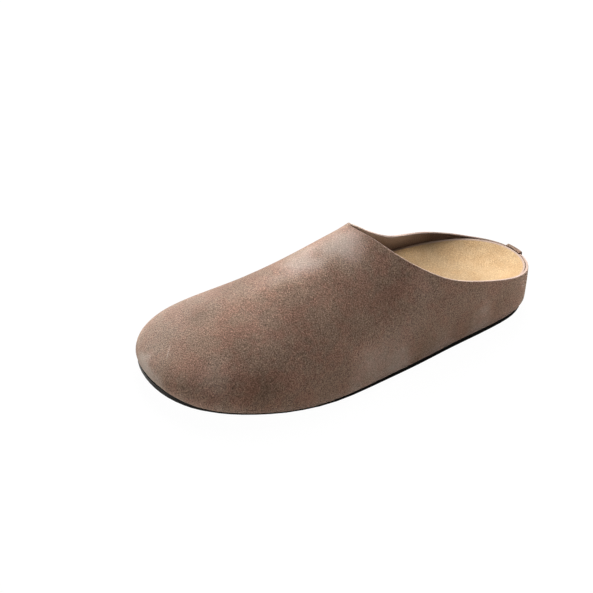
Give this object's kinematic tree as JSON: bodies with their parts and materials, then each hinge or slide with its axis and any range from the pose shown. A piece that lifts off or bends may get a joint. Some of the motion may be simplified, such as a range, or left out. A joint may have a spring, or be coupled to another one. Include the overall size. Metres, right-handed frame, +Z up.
{
  "type": "suede mule shoe",
  "caption": "Closed-toe suede mule for the left foot: soft one-piece upper, open heel, contoured suede footbed, thin rubber outsole.",
  "frame": {"origin": "on the floor, under the middle of the shoe's bounding box", "axes": "toe towards -Y, heel towards +Y, outer side of the left foot towards +X, +Z up"},
  "size_m": [0.113, 0.28, 0.0879],
  "materials": {
    "suede": "napped taupe suede",
    "footbed_suede": "tan suede over a moulded footbed",
    "outsole_rubber": "matt black"
  },
  "bodies": {
    "root": {"outsole": "outsole_rubber", "footbed": "footbed_suede", "upper": "suede", "heel_tab": "suede"}
  },
  "joints": []
}
